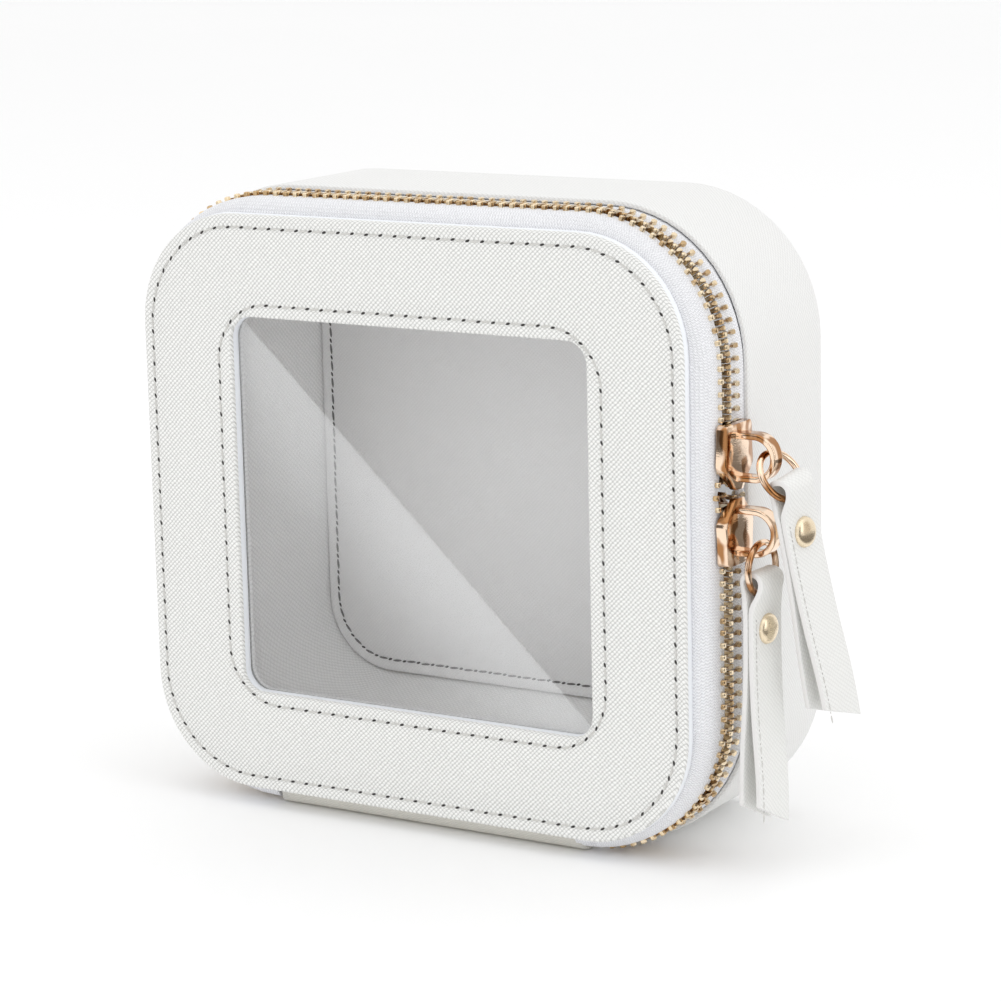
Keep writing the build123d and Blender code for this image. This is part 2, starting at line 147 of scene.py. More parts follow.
class Paint:
    """A finish being mixed. Its nodes are asked for by type, settings and inputs."""

    def __init__(self, name):
        self.material = bpy.data.materials.new(name)
        self.material.use_nodes = True
        self.tree = self.material.node_tree
        self.tree.nodes.clear()

    def node(self, kind, settings=None, inputs=None, output=0):
        made = self.tree.nodes.new(kind)
        for key, value in (settings or {}).items():
            setattr(made, key, value)
        for key, value in (inputs or {}).items():
            if isinstance(value, Wire):
                self.tree.links.new(value.socket, made.inputs[key])
            else:
                made.inputs[key].default_value = value
        return Wire(self, made.outputs[output])

    def point(self, source="Object"):
        """Where on the piece: its own coordinates, or its grain map."""
        return self.node("ShaderNodeTexCoord", output=source)

    def millimetres(self, point):
        """A point as three separate values."""
        apart = self.node("ShaderNodeSeparateXYZ", inputs={"Vector": point})
        return [Wire(self, output) * 1000.0 for output in apart.socket.node.outputs]

    def noise(self, point, scale, detail=3.0, roughness=0.55):
        """Cloudy variation, 0 to 1; scale counts its patches in a metre."""
        return self.node("ShaderNodeTexNoise", {"noise_dimensions": "3D"},
                         {"Vector": point, "Scale": scale, "Detail": detail,
                          "Roughness": roughness})

    def stretched(self, point, scales):
        return self.node("ShaderNodeVectorMath", {"operation": "MULTIPLY"},
                         {0: point, 1: scales})

    def tint(self, share, low, high):
        """A colour between two, by share."""
        low, high = (end if isinstance(end, Wire) else (*end, 1.0) for end in (low, high))
        return self.node("ShaderNodeMix", {"data_type": "RGBA", "clamp_factor": True},
                         {0: share, 6: low, 7: high}, output=2)

    def bump(self, height, reach, strength=1.0):
        """Raised by height (0 to 1), reach in millimetres."""
        return self.node("ShaderNodeBump", None,
                         {"Strength": strength, "Distance": reach * MM, "Height": height})

    def surface(self, **inputs):
        """The finished coat: a principled surface with these inputs."""
        named = {key.replace("_", " "): value for key, value in inputs.items()}
        coat = self.node("ShaderNodeBsdfPrincipled", None, named)
        self.node_out(coat)
        return self.material

    def node_out(self, wire):
        out = self.tree.nodes.new("ShaderNodeOutputMaterial")
        self.tree.links.new(wire.socket, out.inputs["Surface"])


def darker(colour, share):
    return tuple(part * share for part in colour)


def cross_grain(name, colour, valley_shade, source="UV", pitch=0.58, relief=0.10, gloss=0.46,
                flat_axes=(0, 1)):
    """Cross-grain leather: two families of fine slanting ridges that break each other up, with
    painted shade in the valleys between them.
    """
    paint = Paint(name)
    point = paint.point(source)
    along, up = (paint.millimetres(point)[axis] for axis in flat_axes)
    drift = paint.noise(point, 520.0, 3.0)
    turn = 2 * math.pi / pitch
    falling = (along * (0.64 * turn) + up * (0.77 * turn) + drift * 6.0).wave()
    rising = (along * (0.70 * turn) - up * (0.71 * turn) + drift * 5.0).wave()
    ridges = (rising * 0.5 + 0.5).to_power(0.45)
    cells = ridges * (0.22 + (falling * 0.5 + 0.5).to_power(0.45) * 0.78)
    fleck = paint.noise(point, 2400.0, 2.0)
    height = cells * 0.85 + fleck * 0.30
    cloud = paint.noise(point, 38.0, 3.0)
    # Painted shade: the low places of the grain take the darker valley colour.
    shade = height.between(0.12, 0.78)
    base = paint.tint(shade, valley_shade, colour)
    worn = paint.tint(cloud, darker(colour, 0.965), colour)
    toned = paint.node("ShaderNodeMix", {"data_type": "RGBA", "blend_type": "MULTIPLY"},
                       {0: 0.35, 6: base, 7: worn}, output=2)
    rough = gloss + cloud * 0.10 + fleck * 0.08 - shade * 0.06
    return paint.surface(Base_Color=toned, Roughness=rough, IOR=1.48,
                         Normal=paint.bump(height, relief))


def smooth_edge(name, colour):
    """Painted leather edge: smooth and a little uneven."""
    paint = Paint(name)
    point = paint.point()
    cloud = paint.noise(point, 160.0, 3.0)
    ripple = paint.noise(point, 900.0, 2.0)
    base = paint.tint(cloud, darker(colour, 0.95), colour)
    return paint.surface(Base_Color=base, Roughness=ripple * 0.14 + 0.34, IOR=1.5,
                         Normal=paint.bump(ripple, 0.06))


def woven(name, colour, gap_shade, pitch=0.5):
    """Zip tape: close knitted ribs, each made of small slanting loops, with painted shade in the
    gaps between them.
    """
    paint = Paint(name)
    point = paint.point("UV")
    along, across = paint.millimetres(point)[:2]
    drift = paint.noise(point, 700.0, 3.0)
    row = (across * (2 * math.pi / (pitch * 1.5)) + drift * 3.0).wave()
    lean = (along * (2 * math.pi / pitch) + across * (0.9 / pitch) + row * 1.6 + drift * 6.0).wave()
    loops = (lean * 0.5 + 0.5) * ((row * 0.5 + 0.5).to_power(0.5) * 0.6 + 0.4)
    fuzz = paint.noise(point, 3400.0, 3.0)
    height = loops * 0.6 + fuzz * 0.55
    # Painted shade: the low places between the loops take the darker gap colour.
    base = paint.tint(height.between(0.1, 0.7), gap_shade, colour)
    return paint.surface(Base_Color=base, Roughness=0.72 + fuzz * 0.2, Sheen_Weight=0.15,
                         Normal=paint.bump(height, 0.16))


def plated(name, colour, dark, gloss=0.16, deep=None):
    """Plated metal: polished, with hairline rubs and an uneven tone; where deep is given, dark
    patches are painted in as reflections.
    """
    paint = Paint(name)
    point = paint.point()
    cloud = paint.noise(point, 260.0, 2.0)
    rub = paint.noise(paint.stretched(point, (900.0, 900.0, 6000.0)), 1.0, 3.0)
    base = paint.tint(cloud * 0.6 + rub * 0.4, dark, colour)
    # Painted reflection: deep is a dark colour laid over noise patches in place of dark surroundings
    # seen in the metal.
    if deep:
        dark_reflection_patch = paint.noise(paint.stretched(point, (420.0, 420.0, 250.0)), 1.0, 1.0)
        base = paint.tint(dark_reflection_patch.between(0.40, 0.52), deep, base)
    return paint.surface(Base_Color=base, Metallic=1.0, Roughness=gloss + rub * 0.08,
                         Normal=paint.bump(rub * 0.7 + cloud * 0.3, 0.012))


def sewing_thread(name, colour):
    """Twisted thread, painted darker in the grooves of its twist as shade."""
    paint = Paint(name)
    point = paint.point()
    x, y, z = paint.millimetres(point)
    twist = ((x + y + z) * (2 * math.pi / 0.28)).wave() * 0.5 + 0.5
    fibre = paint.noise(point, 5200.0, 2.0)
    # Painted shade: darker where the twist runs low.
    base = paint.tint(twist * 0.7 + fibre * 0.3, darker(colour, 0.72), colour)
    return paint.surface(Base_Color=base, Roughness=0.6 + fibre * 0.25,
                         Normal=paint.bump(twist, 0.05))


def needle_dark(name, colour):
    """The shadowed mouth of a needle hole, painted in as a dark colour."""
    paint = Paint(name)
    speck = paint.noise(paint.point(), 3000.0, 2.0)
    base = paint.tint(speck, darker(colour, 0.6), colour)
    return paint.surface(Base_Color=base, Roughness=0.8 + speck * 0.15,
                         Normal=paint.bump(speck, 0.03))


def pressed_board(name, colour):
    """Grey-brown fibre board."""
    paint = Paint(name)
    point = paint.point()
    fibre = paint.noise(point, 700.0, 5.0, 0.7)
    speck = paint.noise(point, 3500.0, 2.0)
    base = paint.tint(fibre, darker(colour, 0.78), colour)
    return paint.surface(Base_Color=base, Roughness=0.82 + speck * 0.12,
                         Normal=paint.bump(fibre * 0.6 + speck * 0.4, 0.08))


def foam(name, colour):
    """Soft open-cell foam, painted darker in the grooves between its cells as shade."""
    paint = Paint(name)
    point = paint.point()
    cells = paint.node("ShaderNodeTexVoronoi", {"feature": "F1"},
                       {"Vector": point, "Scale": 1400.0})
    # Painted shade: darker toward the cell borders, where the bump runs low.
    base = paint.tint(cells.between(0.0, 0.6), colour, darker(colour, 0.8))
    return paint.surface(Base_Color=base, Roughness=0.85 + cells * 0.1,
                         Normal=paint.bump(1.0 - cells, 0.12))


def clear_film(name):
    """Clear sheet: see-through, faintly grey, with a painted reflection, a soft whitish sheen across
    its lower-left half.
    """
    paint = Paint(name)
    point = paint.point()
    x, _, z = paint.millimetres(point)
    across, up = x - WINDOW_SHIFT, z - MIDDLE
    wide, tall = WINDOW[:2]
    below = (across * -tall - up * wide) / math.hypot(wide, tall)
    smear_and_sheen = paint.noise(point, 70.0, 3.0)
    # Painted reflection: a whitish coat mixed in on the lower-left side of the window's diagonal,
    # fading out over 22 mm; the noise makes it uneven.
    painted_sheen = below.between(-0.25, 0.25) * below.between(0.0, 22.0, 1.0, 0.0)
    painted_sheen = painted_sheen * (smear_and_sheen * 0.25 + 0.87)
    see = paint.node("ShaderNodeBsdfTransparent", None, {"Color": (0.985, 0.985, 0.985, 1.0)})
    painted_sheen_film = paint.node("ShaderNodeBsdfPrincipled", None,
                      {"Base Color": (0.93, 0.94, 0.95, 1.0), "Roughness": 0.5})
    sheen_veiled = paint.node("ShaderNodeMixShader", None, {0: painted_sheen * 0.19, 1: see, 2: painted_sheen_film})
    edge_on = paint.node("ShaderNodeFresnel", None, {"IOR": 1.46})
    shine = paint.node("ShaderNodeBsdfGlossy", None,
                       {"Color": (1.0, 1.0, 1.0, 1.0), "Roughness": smear_and_sheen * 0.03 + 0.02})
    paint.node_out(paint.node("ShaderNodeMixShader", None,
                              {0: edge_on * 0.30, 1: sheen_veiled, 2: shine}))
    return paint.material


def pale_floor(name, colour):
    """A matt board, very slightly uneven."""
    paint = Paint(name)
    cloud = paint.noise(paint.point(), 3.0, 2.0)
    base = paint.tint(cloud, darker(colour, 0.985), colour)
    return paint.surface(Base_Color=base, Roughness=0.75 + cloud * 0.1)


WHITE = (0.95, 0.95, 0.936)
# Each leather's second colour is painted shade for the valleys of its grain.
white_leather = cross_grain("white_leather", WHITE, (0.60, 0.60, 0.585), relief=0.13)
wall_leather = cross_grain("wall_leather", (0.87, 0.87, 0.862), (0.77, 0.77, 0.76), relief=0.05)
strap_leather = cross_grain("strap_leather", (0.865, 0.865, 0.85), (0.78, 0.78, 0.765),
                            relief=0.05, gloss=0.42)
# Beige-grey hinge leather: the white leather darkened as painted shade.
shaded_hinge_leather = cross_grain("shaded_hinge_leather", (0.80, 0.785, 0.74), (0.66, 0.645, 0.60))
grey_lining = cross_grain("grey_lining", (0.93, 0.93, 0.93), (0.80, 0.80, 0.80), relief=0.09)
grey_lining_flat = cross_grain("grey_lining_flat", (0.93, 0.93, 0.93), (0.80, 0.80, 0.80),
                               "Object", flat_axes=(0, 2), relief=0.08)
smooth_grey = cross_grain("smooth_grey", (0.88, 0.88, 0.88), (0.83, 0.83, 0.83), pitch=0.5,
                          relief=0.05)
edge_paint = smooth_edge("edge_paint", (0.88, 0.905, 0.945))
strap_edge = smooth_edge("strap_edge", (0.80, 0.79, 0.775))
# The tape's second colour is painted shade in the gaps of its knit.
tape_knit = woven("tape_knit", (0.90, 0.905, 0.93), (0.66, 0.66, 0.685))
# The deep colours below are painted dark reflections, laid in patches.
tooth_gold = plated("tooth_gold", (0.96, 0.83, 0.62), (0.84, 0.66, 0.42), 0.15,
                    deep=(0.60, 0.42, 0.23))
# Dark brown for the teeth's hollows and undersides: painted shade.
tooth_hollow_shade = plated("tooth_hollow_shade", (0.40, 0.25, 0.12), (0.20, 0.11, 0.05), 0.25)
rose_gold = plated("rose_gold", (1.0, 0.81, 0.64), (0.94, 0.68, 0.48), 0.05,
                   deep=(0.42, 0.20, 0.08))
pale_gold = plated("pale_gold", (0.94, 0.82, 0.62), (0.86, 0.71, 0.50), 0.24)
thread = sewing_thread("thread", (0.80, 0.79, 0.76))
# Dark and grey marks for needle holes: painted shadow.
needle_hole_shadow = needle_dark("needle_hole_shadow", (0.055, 0.05, 0.048))
soft_hole_shadow = needle_dark("soft_hole_shadow", (0.50, 0.48, 0.46))
# Near-black thread for the inner back seam: painted shadow of its holes and seam.
seam_shadow_thread = sewing_thread("seam_shadow_thread", (0.16, 0.155, 0.15))
card = pressed_board("card", (0.52, 0.47, 0.40))
padding = foam("padding", (0.80, 0.78, 0.72))
clear_pane = clear_film("clear_pane")


# ------------------------------------------------------------------ drawing shapes
def turn_matrix(degrees, axis):
    return Matrix.Rotation(math.radians(degrees), 4, axis)


def eased(low, high, value):
    share = min(max((value - low) / (high - low), 0.0), 1.0)
    return share * share * (3 - 2 * share)


def grown(size, amount):
    """A rounded rectangle's width, height and corner, moved outward."""
    return (size[0] + 2 * amount, size[1] + 2 * amount, max(size[2] + amount, 0.3))


def around(size, steps, shift=0.0):
    """Loops on one rounded rectangle. Each step is how far outward, and how deep."""
    return [(grown(size, amount), depth, shift) for amount, depth in steps]


def part_way(near, far, share):
    """A rounded rectangle between two others."""
    return tuple(a + (b - a) * share for a, b in zip(near, far))


def round_place(size, run):
    """The point and direction this far round a rounded rectangle, clockwise from the left
    end of its bottom edge, as (across, up, direction across, direction up)."""
    width, height, corner = size
    side, rise = width / 2 - corner, height / 2 - corner
    quarter = math.pi * corner / 2
    legs = [((-side, -rise), 270, quarter), ((-width / 2, -rise), (0, 1), 2 * rise),
            ((-side, rise), 180, quarter), ((-side, height / 2), (1, 0), 2 * side),
            ((side, rise), 90, quarter), ((width / 2, rise), (0, -1), 2 * rise),
            ((side, -rise), 0, quarter), ((side, -height / 2), (-1, 0), 2 * side)]
    for point, heading, length in legs:
        if run <= length:
            if isinstance(heading, tuple):
                return (point[0] + heading[0] * run, point[1] + heading[1] * run, *heading)
            angle = math.radians(heading - 90 * run / length)
            return (point[0] + corner * math.cos(angle), point[1] + corner * math.sin(angle),
                    math.sin(angle), -math.cos(angle))
        run -= length
    return (side, -height / 2, -1, 0)


def round_length(size):
    width, height, corner = size
    return 2 * (width + height - 4 * corner) + 2 * math.pi * corner


def settle(vert, size, depth, shift, layers):
    """Put a point of a loop where it belongs on a rounded rectangle at a depth."""
    angle, quarter = layers[:2]
    width, height, corner = size
    across = width / 2 - corner if vert[quarter] in (0, 3) else corner - width / 2
    up = height / 2 - corner if vert[quarter] in (0, 1) else corner - height / 2
    vert.co = Vector((shift + across + corner * math.cos(vert[angle]), FRONT + depth,
                      MIDDLE + up + corner * math.sin(vert[angle])))


def first_loop(bm, size, depth, shift, layers):
    """A rounded rectangle standing at a depth, with its points' turns noted on them."""
    angle, quarter = layers[:2]
    width, height, corner = size
    made = bmesh.ops.create_grid(bm, x_segments=1, y_segments=1, size=0.5)["verts"]
    bmesh.ops.scale(bm, vec=(width, height, 1.0), verts=made)
    bmesh.ops.rotate(bm, matrix=Matrix.Rotation(math.radians(90), 3, "X"), verts=made)
    rounded = bmesh.ops.bevel(bm, geom=made, offset=corner, offset_type="OFFSET",
                              segments=CORNER_STEPS, profile=0.5, affect="VERTICES",
                              material=-1)
    face = rounded["verts"][0].link_faces[0]
    for vert in face.verts:
        across, up = vert.co.x, vert.co.z
        quarters = {(True, True): 0, (False, True): 1, (False, False): 2, (True, False): 3}
        vert[quarter] = quarters[(across > 0, up > 0)]
        bend = math.atan2(up - math.copysign(height / 2 - corner, up),
                          across - math.copysign(width / 2 - corner, across))
        lowest = math.pi / 2 * vert[quarter]
        vert[angle] = min(max((bend - lowest + math.pi) % (2 * math.pi) - math.pi + lowest,
                              lowest), lowest + math.pi / 2)
        settle(vert, size, depth, shift, layers)
    return face


def bands(loops, closed=False, last_cap=False, flat=False, reference=None):
    """A skin carried from one rounded rectangle to the next. Each is (size, depth) or
    (size, depth, shift)."""
    bm = bmesh.new()
    grain = bm.loops.layers.uv.new("grain")
    layers = [bm.verts.layers.float.new(word) for word in ("angle", "quarter", "run")]
    angle, quarter, run = layers
    loops = [(loop[0], loop[1], loop[2] if len(loop) > 2 else 0.0) for loop in loops]
    side, rise, turn = (reference or loops[0][0])[:3]
    side, rise = side / 2 - turn, rise / 2 - turn
    total = 4 * side + 4 * rise + 2 * math.pi * turn
    face = first_loop(bm, *loops[0], layers)
    rim, travelled = list(face.edges), 0.0
    bmesh.ops.delete(bm, geom=[face], context="FACES_ONLY")
    for near, far in zip(loops, loops[1:] + (loops[:1] if closed else [])):
        travelled += math.hypot((far[0][0] - near[0][0]) / 2, far[1] - near[1])
        made = bmesh.ops.extrude_edge_only(bm, edges=rim)["geom"]
        fresh = {part for part in made if isinstance(part, bmesh.types.BMVert)}
        for vert in fresh:
            settle(vert, *far, layers)
            vert[run] = travelled
        rim = [part for part in made if isinstance(part, bmesh.types.BMEdge)
               and part.verts[0] in fresh and part.verts[1] in fresh]
    if last_cap:
        bmesh.ops.contextual_create(bm, geom=rim)
    for face in bm.faces:
        places = [rise + turn * loop.vert[angle]
                  + (0, 2 * side, 2 * side + 2 * rise, 4 * side + 2 * rise)[int(loop.vert[quarter])]
                  for loop in face.loops]
        split = max(places) - min(places) > total / 2
        for loop, around in zip(face.loops, places):
            if flat:
                loop[grain].uv = (loop.vert.co.x * MM, (loop.vert.co.z + loop.vert.co.y) * MM)
            else:
                around -= total if split and around > total / 2 else 0.0
                loop[grain].uv = (around * MM, loop.vert[run] * MM)
    if closed:
        bmesh.ops.remove_doubles(bm, verts=bm.verts, dist=1e-4)
    bmesh.ops.recalc_face_normals(bm, faces=bm.faces)
    if last_cap and loops[-1][1] > loops[0][1]:
        outward = max(bm.faces, key=lambda face: face.calc_area())
        if outward.normal.y < 0:
            bmesh.ops.reverse_faces(bm, faces=bm.faces)
    return bm


def small_mesh(bm, name):
    mesh = bpy.data.meshes.new(name)
    bm.to_mesh(mesh)
    bm.free()
    return mesh


def object_of(name, data):
    made = bpy.data.objects.new(name, data)
    bpy.context.scene.collection.objects.link(made)
    return made


def piece(name, bm, materials, body, stands_for=(), sharp=35):
    """Finish a mesh drawn in millimetres: an object in metres, riding on its body."""
    bmesh.ops.scale(bm, vec=(MM, MM, MM), verts=bm.verts)
    made = object_of(name, small_mesh(bm, name))
    mesh = made.data
    for material in materials:
        mesh.materials.append(material)
    mesh.shade_smooth()
    mesh.set_sharp_from_angle(angle=math.radians(sharp))
    if body:
        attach(made, body)
    if stands_for:
        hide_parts(*stands_for)
    return made


def thicken(made, amount):
    """Give a thin sheet its thickness, half to each side."""
    thick = made.modifiers.new("thickness", "SOLIDIFY")
    thick.thickness = amount * MM
    thick.offset = 0.0
    return thick


def soften_edges(made, width, segments, sharpest):
    """Round off the edges that turn by more than sharpest degrees."""
    soft = made.modifiers.new("softened_edges", "BEVEL")
    soft.width = width * MM
    soft.segments = segments
    soft.limit_method = "ANGLE"
    soft.angle_limit = math.radians(sharpest)


def add_copy(bm, mesh, matrix):
    """Add a copy of a small mesh, moved into place."""
    start = len(bm.verts)
    bm.from_mesh(mesh)
    bm.verts.ensure_lookup_table()
    bmesh.ops.transform(bm, matrix=matrix, verts=bm.verts[start:])


def turned_frame(point, forward, upward):
    """A placing whose X follows forward and whose Z follows upward."""
    x = Vector(forward).normalized()
    z = Vector(upward).normalized()
    y = z.cross(x)
    turned = Matrix((x, y, z)).transposed().to_4x4()
    return Matrix.Translation(Vector(point)) @ turned


# ------------------------------------------------------------------ stitches
def bead(name, rows, extent):
    """A ball drawn out to the given length, width and height."""
    bm = bmesh.new()
    bmesh.ops.create_uvsphere(bm, u_segments=10, v_segments=rows, radius=0.5)
    bmesh.ops.scale(bm, vec=extent, verts=bm.verts)
    return small_mesh(bm, name)


THREAD_MESH = bead("one_stitch", 6, (1.9, 0.40, 0.34))
# A flat bead for the shadow in a needle hole: painted shadow.
HOLE_SHADOW_MESH = bead("one_hole_shadow", 4, (0.86, 0.40, 0.12))


def stitch_line(name, size, depth, body, shift=0.0, facing=-1, pitch=STITCH_PITCH,
                materials=None):
    """Stitches all the way round a rounded rectangle."""
    length = round_length(size)
    count = int(round(length / pitch))
    threads, hole_shadows = bmesh.new(), bmesh.new()
    for number in range(count):
        # Each hole is a dark bead: painted shadow in the needle hole.
        for shapes, mesh, offset, sink in ((threads, THREAD_MESH, 0.5, 0.02),
                                           (hole_shadows, HOLE_SHADOW_MESH, 0.0, 0.0)):
            across, up, dx, dz = round_place(size, (number + offset) * length / count)
            wobble = rng.uniform(-0.06, 0.06)
            slant = 0.10 if mesh is THREAD_MESH else 0.32
            point = (across + shift + wobble * dz, FRONT + depth - facing * sink,
                     MIDDLE + up - wobble * dx)
            heading = Vector((dx - slant * dz, 0, dz + slant * dx))
            add_copy(shapes, mesh, turned_frame(point, heading, (0, facing, 0)))
    thread_finish, hole_shadow_finish = materials or (thread, needle_hole_shadow)
    piece(f"{name}_thread", threads, [thread_finish], body)
    piece(f"{name}_holes", hole_shadows, [hole_shadow_finish], body)


# ------------------------------------------------------------------ lid panel
def round_over(size, depth, radius, turn_in=1, steps=4, shift=0.0):
    """Loops that round a skin's edge over from its side to its face, turning inward or out."""
    angles = [math.pi / 2 * step / steps for step in range(steps + 1)]
    return around(size, [(-turn_in * radius * (1 - math.cos(angle)),
                          depth + radius * (1 - math.sin(angle))) for angle in angles], shift)


def groove(size, depth, shift=0.0):
    """Loops that press a stitch line into a skin."""
    low = depth + GROOVE_DEPTH * 0.8
    return around(size, [(GROOVE_HALF, depth), (GROOVE_HALF * 0.35, low),
                         (-GROOVE_HALF * 0.35, low), (-GROOVE_HALF, depth)], shift)


def make_lid_panel():
    loops = [(PANEL, 0.8)]
    loops += round_over(PANEL, 0.0, 0.55)
    loops += groove(OUTER_STITCH, 0.0)
    loops += [(part_way(OUTER_STITCH, WINDOW_STITCH, 0.3), -0.04, 0.1),
              (part_way(OUTER_STITCH, WINDOW_STITCH, 0.7), -0.04, 0.3)]
    loops += groove(WINDOW_STITCH, 0.0, WINDOW_SHIFT)
    loops += round_over(WINDOW, 0.0, 0.5, turn_in=-1, shift=WINDOW_SHIFT)[::-1]
    loops += [(WINDOW, 0.8, WINDOW_SHIFT)]
    bm = bands(loops, closed=True, flat=True)
    piece("panel_leather", bm, [white_leather], "lid", ["front_panel_skin"])
    stitch_line("outer_stitch", OUTER_STITCH, 0.08, "lid")
    stitch_line("window_stitch", WINDOW_STITCH, 0.08, "lid", WINDOW_SHIFT)
    edge = around(PANEL, [(-0.5, 0.82), (-0.02, 0.85), (0.10, 1.25), (0.12, 1.6), (0.06, 2.05),
                          (-0.12, 2.28), (-0.5, 2.29)])
    piece("painted_panel_edge", bands(edge, closed=True), [edge_paint], "lid",
          ["panel_edge_band"])
    inner = around(WINDOW, [(0.5, 0.82), (0.02, 0.85), (-0.10, 1.3), (-0.10, 1.8), (0.02, 2.25),
                            (0.5, 2.28)], WINDOW_SHIFT)
    piece("painted_window_edge", bands(inner, closed=True), [edge_paint], "lid",
          ["window_edge_band"])


# ------------------------------------------------------------------ zip tapes
def slice_at(bm, point, normal, wanted):
    """Cut across the faces that wanted picks."""
    faces = [face for face in bm.faces if wanted(face.calc_center_median())]
    edges = list({edge for face in faces for edge in face.edges})
    verts = list({vert for face in faces for vert in face.verts})
    bmesh.ops.bisect_plane(bm, geom=verts + edges + faces, plane_co=point, plane_no=normal)


def clear_hinge(bm):
    """Take away the stretch along the bottom that the leather hinge replaces."""
    low = MIDDLE - 40.0
    for side in (-1, 1):
        slice_at(bm, (side * HINGE_WIDTH / 2, 0, 0), (1, 0, 0), lambda mid: mid.z < low)
    gone = [face for face in bm.faces if face.calc_center_median().z < low
            and abs(face.calc_center_median().x) < HINGE_WIDTH / 2 - 0.2]
    bmesh.ops.delete(bm, geom=gone, context="FACES")
    bmesh.ops.holes_fill(bm, edges=[edge for edge in bm.edges if edge.is_boundary], sides=0)


def part_rows(bm, side):
    """Draw the tape's edge back where the sliders hold the two rows apart."""
    for step in range(-8, 9):
        height = PARTING + step * 1.0
        slice_at(bm, (0, 0, height), (0, 0, 1),
                 lambda mid: mid.x > 45 and abs(mid.z - MIDDLE) < 29)
    edge_y = CHAIN_Y + side * TAPE_EDGE
    for vert in bm.verts:
        if vert.co.x > 45 and abs(vert.co.z - PARTING) < OPENING_RUN + 0.9:
            near = 1 - min(abs(vert.co.y - edge_y) / 3.0, 1.0)
            share = 1 - abs(vert.co.z - PARTING) / (OPENING_RUN + 0.9)
            vert.co.y += side * ROW_OPENING * share * near


def make_tapes():
    start = grown(PANEL, -TAPE)
    outer, inner = [], []
    for step in range(7):
        angle = math.pi / 2 * step / 6
        size = part_way(start, CHAIN, math.sin(angle))
        depth = 2.32 + 2.9 * (1 - math.cos(angle))
        outer.append((size, depth))
        inner.append((grown(size, -TAPE), depth + TAPE * math.cos(angle)))
    edge = CHAIN_DEPTH - TAPE_EDGE
    outer += around(CHAIN, [(0, 6.6), (0, edge - 0.25), (-TAPE_TRIM, edge)])
    inner += around(CHAIN, [(-TAPE, 6.6), (-TAPE, edge - 0.25), (-TAPE + TAPE_TRIM, edge)])
    bm = bands(outer + inner[::-1], closed=True, reference=CHAIN)
    clear_hinge(bm)
    part_rows(bm, -1)
    piece("lid_tape_knit", bm, [tape_knit], "lid", ["lid_zip_tape"])

    edge = CHAIN_DEPTH + TAPE_EDGE
    under = grown(CASE, -1.1)
    outer = around(CHAIN, [(-TAPE_TRIM, edge), (0, edge + 0.25), (0, 12.0), (0, 12.8), (0, 13.6),
                           (0, 14.3)])
    outer += [(part_way(CHAIN, under, 0.5), 14.7), (under, 15.2), (under, 19.4)]
    inner = around(CHAIN, [(-TAPE + TAPE_TRIM, edge), (-TAPE, edge + 0.25), (-TAPE, 14.0)])
    inner += around(under, [(-TAPE, 14.9), (-TAPE, 19.4)])
    bm = bands(outer[::-1] + inner, closed=True, reference=CHAIN)
    clear_hinge(bm)
    part_rows(bm, 1)
    swell(bm, 11.6, 14.6, 20.0, SWELL)
    piece("base_tape_knit", bm, [tape_knit], "base", ["base_zip_tape"])


# ------------------------------------------------------------------ zip teeth
def tooth_shape(side):
    """One tooth: a foot that grips the tape, a narrow waist and a rounded head, with the
    hollows between them in the second material, a dark brown painted in as shade."""
    bm = bmesh.new()
    made = bmesh.ops.create_cube(bm, size=1.0)["verts"]
    bmesh.ops.scale(bm, vec=(0.92, 3.5, 2.3), verts=made)
    bmesh.ops.translate(bm, vec=(0, side * 1.25, -0.3), verts=made)
    for cut in (0.35, 0.95, 1.75, 2.15):
        bmesh.ops.bisect_plane(bm, geom=bm.verts[:] + bm.edges[:] + bm.faces[:],
                               plane_co=(0, side * cut, 0), plane_no=(0, 1, 0))
    # Up to each reach from the chain's middle: the share of the width and of the height.
    sections = ((0.2, 0.80, 0.74), (0.6, 0.98, 0.88), (1.3, 0.50, 0.66), (1.9, 0.56, 0.74),
                (2.5, 1.06, 1.0), (math.inf, 0.86, 0.90))
    for vert in bm.verts:
        wide, tall = next(shares for limit, *shares in sections if side * vert.co.y < limit)
        vert.co.x *= wide
        vert.co.z = -0.3 + (vert.co.z + 0.3) * tall
    bmesh.ops.bevel(bm, geom=[edge for edge in bm.edges if edge.calc_face_angle(0) > 0.75],
                    offset=0.17, offset_type="OFFSET", segments=1, profile=0.5,
                    affect="EDGES", material=-1)
    for face in bm.faces:
        middle = face.calc_center_median()
        # Painted shade: faces in the waist's hollows and underneath take the dark material.
        face.material_index = int(0.62 < side * middle.y < 1.88 or middle.z < -0.75)
    return small_mesh(bm, "one_tooth")


def make_teeth(name, side, body, node):
    tooth = tooth_shape(side)
    bm = bmesh.new()
    for number in range(TOOTH_COUNT):
        run = (number + (0.25 if side < 0 else 0.75)) * TOOTH_PITCH
        across, up, dx, dz = round_place(CHAIN, run)
        height = MIDDLE + up
        opening = 0.0
        if across > 0 and abs(height - PARTING) < OPENING_RUN:
            opening = ROW_OPENING * (1 - abs(height - PARTING) / OPENING_RUN)
        place = turned_frame((across, CHAIN_Y + side * opening, height), (dx, 0, dz),
                             (-dz, 0, dx))
        add_copy(bm, tooth, place @ Matrix.Rotation(rng.uniform(-0.02, 0.02), 4, "Z"))
    piece(name, bm, [tooth_gold, tooth_hollow_shade], body, [node])


# ------------------------------------------------------------------ base
def swell(bm, start, crest, end, amount):
    """Let the sides of a skin swell a little between two depths."""
    for vert in bm.verts:
        depth = vert.co.y - FRONT
        if start < depth < end:
            share = (eased(start, crest, depth) if depth < crest else 1 - eased(crest, end, depth))
            vert.co.x += amount * share * max(-1.0, min(1.0, vert.co.x / 40.0))


